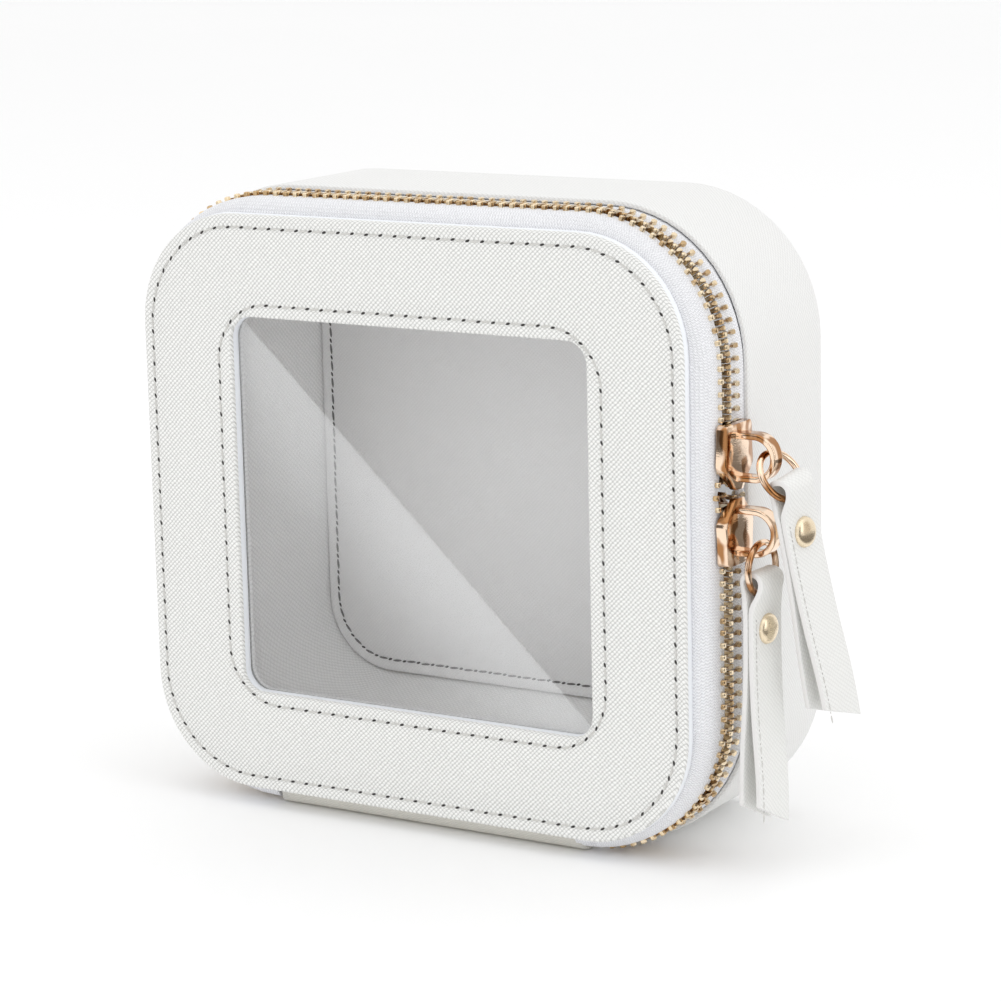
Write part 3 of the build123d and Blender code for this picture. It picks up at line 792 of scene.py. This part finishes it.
def make_walls():
    steps = [(-1.0, 16.4), (-0.98, 15.4), (-0.75, 15.05), (-0.45, 14.98), (-0.15, 15.1),
             (-0.02, 15.5), (0, 16.2), (0, 24.0), (0, 33.0), (0, REAR_DEPTH - REAR_ROUND)]
    steps += [(-REAR_ROUND * (1 - math.cos(angle)), REAR_DEPTH - REAR_ROUND * (1 - math.sin(angle)))
              for angle in (math.pi / 12 * step for step in range(1, 7))]
    steps += [(-6.7, REAR_DEPTH), (-6.95, REAR_DEPTH), (-7.0, REAR_DEPTH - 0.3),
              (-7.0, REAR_DEPTH - 0.9), (-REAR_ROUND, REAR_DEPTH - WALL_LEATHER), (-1.0, 40.4)]
    bm = bands(around(CASE, steps), closed=True)
    swell(bm, 10.0, 15.0, 28.0, SWELL)
    piece("wall_leather_skin", bm, [wall_leather], "base", ["wall_skin"])

    back = grown(CASE, -7.15)
    stitch = grown(back, -2.4)
    loops = around(back, [(-1.5, 43.2), (0, 43.2), (0, 43.9), (-0.15, 44.25), (-0.5, 44.42),
                          (-1.0, 44.47)])
    loops += around(stitch, [(0.55, 44.47), (0.2, 44.36), (-0.2, 44.36), (-0.55, 44.47), (-8, 44.5)])
    piece("back_leather_panel", bands(loops, last_cap=True, flat=True), [white_leather], "base",
          ["back_panel_skin"])
    stitch_line("back_stitch", stitch, 44.42, "base", facing=1)


def make_inside():
    rim = grown(CASE, -RIM_LINING_INSET)
    deep = grown(BACK_LINING, LINING)
    outer = [(part_way(rim, deep, share), LINING_START + LINING_RUN * share)
             for share in (0, 0.5, 1)]
    inner = []
    for step in range(11):
        share = step / 10
        belly = 0.55 * math.sin(math.pi * share) ** 0.7
        size = grown(part_way(grown(rim, -LINING), BACK_LINING, share), -belly)
        inner.append((size, LINING_START + (LINING_RUN - 0.2) * share))
    inner[0] = (inner[0][0], LINING_START + 0.1)
    edge = around(rim, [(-0.1, 15.25), (-0.45, 15.2)])
    piece("inner_wall_lining", bands(outer[::-1] + edge + inner, closed=True), [grey_lining],
          "base", ["wall_lining"])

    rest = grown(BACK_LINING, -0.15)
    seam = grown(BACK_LINING, -2.3)
    loops = around(rest, [(-3, 40.85), (0, 40.85), (0, 40.5), (-0.12, 40.2), (-0.45, 40.0),
                          (-0.9, 39.92)])
    loops += around(seam, [(0.6, 39.92), (0.2, 40.08), (-0.2, 40.08), (-0.6, 39.92), (-10, 39.86)])
    piece("inner_back_leather", bands(loops, last_cap=True, flat=True), [smooth_grey], "base",
          ["inner_back_panel"])
    # Near-black thread and dark hole beads: painted shadow along the inner back seam.
    stitch_line("inner_back_stitch", seam, 40.0, "base",
                materials=(seam_shadow_thread, needle_hole_shadow), pitch=INNER_STITCH_PITCH)

    board = grown(CASE, -WALL_LEATHER - BOARD)
    outer = [(board, 20.0), (board, LINING_START + LINING_RUN)]
    inner = [(grown(part_way(rim, deep, share), 0.02), LINING_START + LINING_RUN * share)
             for share in (1.0, 0.75, 0.5, 0.25)]
    foam_ring = piece("wall_foam", bands(outer + inner, closed=True), [padding], "base",
                      ["wall_padding"])


# ------------------------------------------------------------------ hinge
def strip(name, profile, half_width, thickness, materials, stands_for, soften=1.0,
          slant=0.0):
    """A soft strip across the bottom that follows a profile of (depth, drop) points."""
    bm = bmesh.new()
    grain = bm.loops.layers.uv.new("grain")
    bmesh.ops.create_grid(bm, x_segments=28, y_segments=24, size=0.5)
    lengths = [0.0]
    for near, far in zip(profile, profile[1:]):
        lengths.append(lengths[-1] + math.dist(near, far))

    def on_profile(run):
        for number in range(len(profile) - 1):
            if run <= lengths[number + 1] or number == len(profile) - 2:
                share = (run - lengths[number]) / (lengths[number + 1] - lengths[number])
                share = min(max(share, 0.0), 1.0)
                near, far = profile[number], profile[number + 1]
                return near[0] + (far[0] - near[0]) * share, near[1] + (far[1] - near[1]) * share

    def rounded(run):
        spots = [on_profile(min(max(run + offset * soften, 0.0), lengths[-1]))
                 for offset in (-1.0, -0.5, 0.0, 0.5, 1.0)]
        return sum(s[0] for s in spots) / 5, sum(s[1] for s in spots) / 5

    for vert in bm.verts:
        across, share = vert.co.x, vert.co.y + 0.5
        depth, drop = rounded(share * lengths[-1])
        end = slant * max(0.0, 0.35 - share) * max(0.0, -2 * across)
        vert.co = Vector((2 * across * half_width + end, FRONT + depth, MIDDLE - drop))
    for face in bm.faces:
        for loop in face.loops:
            loop[grain].uv = (loop.vert.co.x * MM, (loop.vert.co.y - loop.vert.co.z) * MM)
    made = piece(name, bm, materials, None)
    thicken(made, thickness)
    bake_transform(made)
    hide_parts(*stands_for)
    return made


def make_hinge():
    outside = [(2.5, 48.95), (4.6, 52.0), (9.6, 52.05), (14.4, 51.95), (15.4, 51.1), (19.4, 51.1)]
    inside = [(3.9, 48.9), (5.4, 51.1), (9.6, 51.2), (14.1, 51.1), (14.9, 50.0)]
    strip("hinge_leather_strip", outside, HINGE_WIDTH / 2 + HINGE_END_GAP, 0.85, [shaded_hinge_leather],
          ["hinge_strip"], slant=6.0)
    strip("hinge_inner_lining", inside, HINGE_WIDTH / 2, 0.55, [grey_lining], ["hinge_lining"])


# ------------------------------------------------------------------ zip sliders
SLIDER_MIDDLE = 54.1
TOP_PLATE = (56.62, 55.6)
UNDER_PLATE = (51.55, 52.5)
LIP = 0.85
BAIL_FOOT = 56.7
BAIL_THICKNESS = 1.0


def slider_section(bm, x_top, x_under, lip, half, out, height):
    """The edge loop of a slider plate's cross-section at a height: a plate with two lips."""
    round_off = min(0.35, half * 0.3)
    lip_width = min(LIP, half * 0.45)
    lip_end = x_under - out * lip
    rising = [(lip_end, -half), (x_top - out * round_off, -half),
              (x_top - out * round_off * 0.3, -half + round_off * 0.3), (x_top, -half + round_off)]
    points = rising + [(x_top + out * 0.12, 0.0)] + [(x, -y) for x, y in rising[::-1]]
    points += [(lip_end, half - lip_width), (x_under, half - lip_width), (x_under, 0.0),
               (x_under, -half + lip_width), (lip_end, -half + lip_width)]
    verts = [bm.verts.new((x, CHAIN_Y + y, height)) for x, y in points]
    return [bm.edges.new((a, b)) for a, b in zip(verts, verts[1:] + verts[:1])]


def slider_plate(bm, x_top, x_under, out, height, nose):
    """One plate: square tail, wide shoulders, narrow nose, drawn from section to section.
    Each station is how far along, half the width, and the share of the lip."""
    stations = [(-5.25, 3.6, 1), (-5.05, 4.0, 1), (-4.6, 4.25, 1), (-1.0, 4.42, 1), (1.0, 4.6, 1),
                (1.7, 4.5, 1), (2.3, 4.0, 0.9), (3.6, 2.8, 0.5), (4.6, 1.9, 0.15),
                (5.05, 1.6, 0.05), (5.25, 1.25, 0.02)]
    rims = [slider_section(bm, x_top, x_under, LIP * tall, half, out, height + nose * along)
            for along, half, tall in stations]
    for near, far in zip(rims, rims[1:]):
        bmesh.ops.bridge_loops(bm, edges=near + far)
    bmesh.ops.holes_fill(bm, edges=[edge for edge in bm.edges if edge.is_boundary], sides=0)


def make_slider(name, height, nose):
    """Two plates and the post between them. The nose points up (1) or down (-1)."""
    bm = bmesh.new()
    slider_plate(bm, *TOP_PLATE, 1, height, nose)
    slider_plate(bm, *UNDER_PLATE, -1, height, nose)
    post = bmesh.ops.create_cone(bm, cap_ends=True, segments=12, radius1=0.5, radius2=0.5,
                                 depth=3.3)["verts"]
    bmesh.ops.scale(bm, vec=(1.0, 0.9, 1.0), verts=post)
    bmesh.ops.rotate(bm, matrix=Matrix.Rotation(math.radians(90), 3, "Y"), verts=post)
    bmesh.ops.translate(bm, vec=(SLIDER_MIDDLE, CHAIN_Y, height + nose * 3.7), verts=post)
    bmesh.ops.recalc_face_normals(bm, faces=bm.faces)
    made = piece(f"{name}_slider_body", bm, [rose_gold], f"{name}_zip", [f"{name}_slider"],
                 sharp=50)
    soften_edges(made, 0.14, 2, 38)


def make_bail(name, height):
    """A broad strip bent into an arch, with its feet sunk a little into the slider."""
    reach, half, turn, sunk = 6.2, 3.4, 3.3, 0.3
    straight, arc = reach - turn + sunk, math.pi * turn / 2
    flat = 2 * (half - turn)
    total = 2 * straight + 2 * arc + flat

    def arch(run):
        """A point on the bail's middle line, from its lower foot to its upper one."""
        if run > total / 2:
            out, up = arch(total - run)
            return out, -up
        if run < straight:
            return run - sunk, -half
        if run < straight + arc:
            angle = (run - straight) / turn
            return reach - turn + turn * math.sin(angle), -half + turn - turn * math.cos(angle)
        return reach, -half + turn + (run - straight - arc)

    bm = bmesh.new()
    bmesh.ops.create_grid(bm, x_segments=56, y_segments=6, size=0.5)
    for vert in bm.verts:
        share, across = vert.co.x + 0.5, vert.co.y
        out, up = arch(share * total)
        broad = 1.5 - 0.18 * math.sin(math.pi * share) ** 6
        vert.co = Vector((BAIL_FOOT + out, CHAIN_Y + 2 * across * broad, height + up))
    bmesh.ops.recalc_face_normals(bm, faces=bm.faces)
    made = piece(f"{name}_bail_strip", bm, [rose_gold], f"{name}_zip", [f"{name}_bail"])
    thicken(made, BAIL_THICKNESS)
    soften_edges(made, 0.30, 4, 50)


# ------------------------------------------------------------------ rings, straps, rivets
RING_RADIUS = 4.1
WIRE_RADIUS = 0.55
STRAP_PIVOT = 7.367
FOLD_HEIGHT = 1.333
FOLD_RADIUS = 1.45
STRAP_TOP = 3.233
STRAP_LENGTH = 41.0
STRAP_SHORT = 0.9
STRAP_SLANT = 4.2
STRAP_HALF = 4.3
NECK_HALF = 3.3
STRAP_THICKNESS = 0.88
STRAP_STITCHES = 15
STRAP_STITCH_PITCH = 2.2
RIVET_DROP = 9.5


def strap_lie(run):
    """Half of the strap's side view: how far out and how high, this far from the fold's top."""
    quarter = math.pi * FOLD_RADIUS / 2
    if run < quarter:
        angle = run / FOLD_RADIUS
        return FOLD_RADIUS * math.sin(angle), FOLD_HEIGHT + FOLD_RADIUS * math.cos(angle)
    height = FOLD_HEIGHT - (run - quarter)
    out = FOLD_RADIUS + (0.5 - FOLD_RADIUS) * eased(1.4, -3.6, height)
    out += 1.25 * eased(-9.0, STRAP_TOP - STRAP_LENGTH - 3.0, height)
    return out, height


def strap_half_width(run):
    return NECK_HALF + (STRAP_HALF - NECK_HALF) * eased(3.4, 6.2, run)


def ripple(run, start):
    """How far the leather waves in and out, more towards its free end."""
    return 0.18 * eased(18, 40, run) * math.sin(run * 0.22 + start)


def spin_round(bm, axis, steps):
    """Carry an outline once round an axis through the origin."""
    bmesh.ops.spin(bm, geom=bm.verts[:] + bm.edges[:], cent=(0, 0, 0), axis=axis,
                   angle=2 * math.pi, steps=steps, use_merge=True, use_duplicate=False)


def make_ring(name, place):
    bm = bmesh.new()
    made = bmesh.ops.create_circle(bm, cap_ends=False, segments=18, radius=WIRE_RADIUS)["verts"]
    bmesh.ops.rotate(bm, matrix=Matrix.Rotation(math.radians(90), 3, "X"), verts=made)
    bmesh.ops.rotate(bm, matrix=Matrix.Rotation(math.radians(180), 3, "Z"), verts=made)
    bmesh.ops.translate(bm, vec=(RING_RADIUS, 0, 0), verts=made)
    spin_round(bm, (0, 0, 1), 72)
    bmesh.ops.recalc_face_normals(bm, faces=bm.faces)
    lay = place @ Matrix.Translation((0, 0, -RING_RADIUS)) @ turn_matrix(90, "Y")
    bmesh.ops.transform(bm, matrix=lay, verts=bm.verts)
    piece(f"{name}_ring_wire", bm, [rose_gold], f"{name}_loop", [f"{name}_ring"])


def make_strap(name, place):
    """A strap folded over the ring, drawn along its middle from one free end to the other."""
    bm = bmesh.new()
    grain = bm.loops.layers.uv.new("grain")
    run_layer = bm.verts.layers.float.new("run")
    bmesh.ops.create_grid(bm, x_segments=96, y_segments=10, size=0.5)
    for vert in bm.verts:
        share, across = 2 * vert.co.x, 2 * vert.co.y
        length = STRAP_LENGTH - STRAP_SHORT + STRAP_SLANT / 2 * across
        run = length * abs(share) ** 1.25
        out, height = strap_lie(run)
        side = -1 if share > 0 else 1
        out += ripple(run, 0.8 if side > 0 else 2.4)
        out += 0.30 * across ** 4 * (1 - eased(2.0, 6.0, run))
        cup = 0.10 * (across * across - 0.4) * eased(10, 30, run)
        vert[run_layer] = side * run
        vert.co = Vector((side * (out + cup), across * strap_half_width(run), height))
    for face in bm.faces:
        for loop in face.loops:
            loop[grain].uv = (loop.vert.co.y * MM, loop.vert[run_layer] * MM)
    bmesh.ops.recalc_face_normals(bm, faces=bm.faces)
    bmesh.ops.transform(bm, matrix=place, verts=bm.verts)
    made = piece(f"{name}_strap_leather", bm, [strap_leather, strap_edge], f"{name}_pull",
                 [f"{name}_pull_strap"])
    thicken(made, STRAP_THICKNESS).material_offset_rim = 1
    soften_edges(made, 0.16, 2, 50)

    # The grey hole beads on the strap are painted shadow.
    threads, hole_shadows = bmesh.new(), bmesh.new()
    for number in range(STRAP_STITCHES):
        for shapes, mesh, offset, scale in ((threads, THREAD_MESH, 0.5, 0.72),
                                            (hole_shadows, HOLE_SHADOW_MESH, 0.0, 0.5)):
            run = 8.0 + (number + offset) * STRAP_STITCH_PITCH
            out, height = strap_lie(run)
            out += ripple(run, 0.8) + STRAP_THICKNESS / 2 + 0.03
            spot = turned_frame((out, -3.35, height), (0, 0, -1), (1, 0, 0))
            add_copy(shapes, mesh, place @ spot @ Matrix.Scale(scale, 4))
    piece(f"{name}_strap_thread", threads, [thread], f"{name}_pull")
    piece(f"{name}_strap_holes", hole_shadows, [soft_hole_shadow], f"{name}_pull")


def turned(profile, place):
    """A turned shape: a profile of (out, along) spun about the piece's X axis."""
    bm = bmesh.new()
    verts = [bm.verts.new((along, out, 0)) for out, along in profile]
    for near, far in zip(verts, verts[1:]):
        bm.edges.new((near, far))
    spin_round(bm, (1, 0, 0), 40)
    bmesh.ops.remove_doubles(bm, verts=bm.verts, dist=0.001)
    bmesh.ops.recalc_face_normals(bm, faces=bm.faces)
    bmesh.ops.transform(bm, matrix=place, verts=bm.verts)
    return bm


def make_rivet(name, place):
    place = place @ Matrix.Translation((0, 0, STRAP_TOP - RIVET_DROP))
    dome = [(0.0, 0.85), (2.30, 0.85), (2.44, 0.95), (2.46, 1.08), (2.38, 1.22)]
    dome += [(2.38 * math.cos(math.radians(a)), 1.22 + 1.02 * math.sin(math.radians(a)))
             for a in (12, 24, 36, 48, 60, 72, 82)] + [(0.0, 2.245)]
    piece(f"{name}_rivet_dome", turned(dome, place), [pale_gold], f"{name}_pull",
          [f"{name}_rivet_cap"], sharp=60)
    foot = [(0.0, 1.0), (0.78, 1.0), (0.78, -0.9), (0.8, -0.92), (1.95, -0.92), (2.1, -1.05),
            (2.1, -1.25), (1.95, -1.42), (0.9, -1.45), (0.7, -1.38), (0.0, -1.36)]
    piece(f"{name}_rivet_foot", turned(foot, place), [pale_gold], f"{name}_pull",
          [f"{name}_rivet_back"])


def make_pull(name, height, out, lift, turn, lean, ring_tilt, strap_tilt):
    """A ring hanging in its bail, and its strap: first where, then the turns in degrees."""
    hang = (Matrix.Translation((BAIL_FOOT + out, CHAIN_Y, height + lift)) @ turn_matrix(turn, "Z")
            @ turn_matrix(lean, "X"))
    ring_place = hang @ turn_matrix(-ring_tilt, "Y")
    strap_place = (ring_place @ Matrix.Translation((0, 0, -STRAP_PIVOT))
                   @ turn_matrix(ring_tilt - strap_tilt, "Y"))
    make_ring(name, ring_place)
    make_strap(name, strap_place)
    make_rivet(name, strap_place)


# ------------------------------------------------------------------ putting it together
make_lid_panel()
make_tapes()
make_teeth("lid_tooth_row", -1, "lid", "lid_zip_teeth")
make_teeth("base_tooth_row", 1, "base", "base_zip_teeth")
make_walls()
make_inside()
make_hinge()
for name, height, nose in (("upper", UPPER_HEIGHT, -1), ("lower", LOWER_HEIGHT, 1)):
    make_slider(name, height, nose)
    make_bail(name, height)
make_pull("upper", UPPER_HEIGHT, 4.5, 0.7, -8.0, 10.0, 34.0, 5.0)
make_pull("lower", LOWER_HEIGHT, 3.6, -1.6, -4.0, 0.0, 0.0, 0.0)

for node, finish in {"front_panel_board": card, "lid_lining": grey_lining_flat,
                     "window_pane": clear_pane, "wall_board": card, "back_board": card,
                     "inner_back_board": card}.items():
    nodes[node].data.materials.clear()
    nodes[node].data.materials.append(finish)


# ------------------------------------------------------------------ floor, light, camera
def flat_card(name, corners, material):
    bm = bmesh.new()
    bm.faces.new([bm.verts.new(corner) for corner in corners])
    made = object_of(name, small_mesh(bm, name))
    made.data.materials.append(material)
    return made


def soft_light(name, place, aim, width, height, power):
    lamp = bpy.data.lights.new(name, "AREA")
    lamp.shape = "RECTANGLE"
    lamp.size, lamp.size_y, lamp.energy = width, height, power
    made = object_of(name, lamp)
    made.location = place
    made.rotation_euler = (Vector(aim) - Vector(place)).to_track_quat("-Z", "Y").to_euler()
    return made


def reflected_card(name, corners, shade):
    """A dark board that shows only in shiny reflections, to give the metal some edges."""
    made = flat_card(name, corners, pale_floor(name, (shade, shade * 0.9, shade * 0.8)))
    made.visible_camera = False
    made.visible_diffuse = False
    made.visible_transmission = False
    made.visible_shadow = False


def upright_board(start, end, height):
    return [(*start, 0.0), (*end, 0.0), (*end, height), (*start, height)]


flat_card("floor", [(-3, -3, 0), (3, -3, 0), (3, 3, 0), (-3, 3, 0)],
          pale_floor("pale_floor", (0.97, 0.97, 0.97)))
reflected_card("dark_board_right", upright_board((0.5, -0.7), (0.5, -0.3), 0.6), 0.10)
reflected_card("dark_board_far_right", upright_board((0.6, 0.0), (0.6, 0.5), 0.5), 0.55)
reflected_card("dark_board_left", upright_board((-0.7, -0.9), (-0.1, -0.9), 0.5), 0.12)
reflected_card("dark_board_low", [(0.12, -0.5, 0.001), (0.4, -0.5, 0.001), (0.4, 0.3, 0.001),
                                  (0.12, 0.3, 0.001)], 0.14)

world = bpy.data.worlds.new("studio")
bpy.context.scene.world = world
world.use_nodes = True
sky = world.node_tree.nodes["Background"]
sky.inputs["Color"].default_value = (1.0, 1.0, 1.0, 1.0)
sky.inputs["Strength"].default_value = 1.0

soft_light("overhead", (0.1, -0.15, 0.9), (0, 0, 0.05), 0.9, 0.9, 1.0)
soft_light("left_window", (-0.9, -0.7, 0.5), (0, 0, 0.05), 0.7, 0.9, 0.7)
# A weak lamp just behind the window; neither the camera nor a reflection shows it.
inside = soft_light("inside_fill", (0.0, -0.0155, 0.0526), (0, 0.02, 0.0526), 0.07, 0.066, 0.0031)
inside.visible_camera = False
inside.visible_glossy = False
soft_light("right_window", (0.95, -0.2, 0.5), (0, 0, 0.05), 0.5, 0.8, 0.9)

CAMERA_PLACE = (0.29927, -0.47165, 0.16855)
CAMERA_TURNS = (32.0, 11.77, -1.30)
FOCAL_LENGTH = 121.9

camera_data = bpy.data.cameras.new("camera")
camera_data.sensor_width = 36.0
camera_data.lens = FOCAL_LENGTH
camera_data.clip_start, camera_data.clip_end = 0.01, 20.0
camera = object_of("camera", camera_data)
azimuth, elevation, roll = (math.radians(turn) for turn in CAMERA_TURNS)
back = Vector((math.sin(azimuth) * math.cos(elevation), -math.cos(azimuth) * math.cos(elevation),
               math.sin(elevation)))
right = (-back).cross(Vector((0, 0, 1))).normalized()
upright = right.cross(-back)
rolled_right = right * math.cos(roll) + upright * math.sin(roll)
rolled_up = upright * math.cos(roll) - right * math.sin(roll)
camera.matrix_world = (Matrix.Translation(CAMERA_PLACE)
                       @ Matrix((rolled_right, rolled_up, back)).transposed().to_4x4())
bpy.context.scene.camera = camera

scene = bpy.context.scene
scene.cycles.max_bounces = 16
scene.cycles.diffuse_bounces = 12
scene.view_settings.view_transform = "Standard"
scene.view_settings.look = "None"
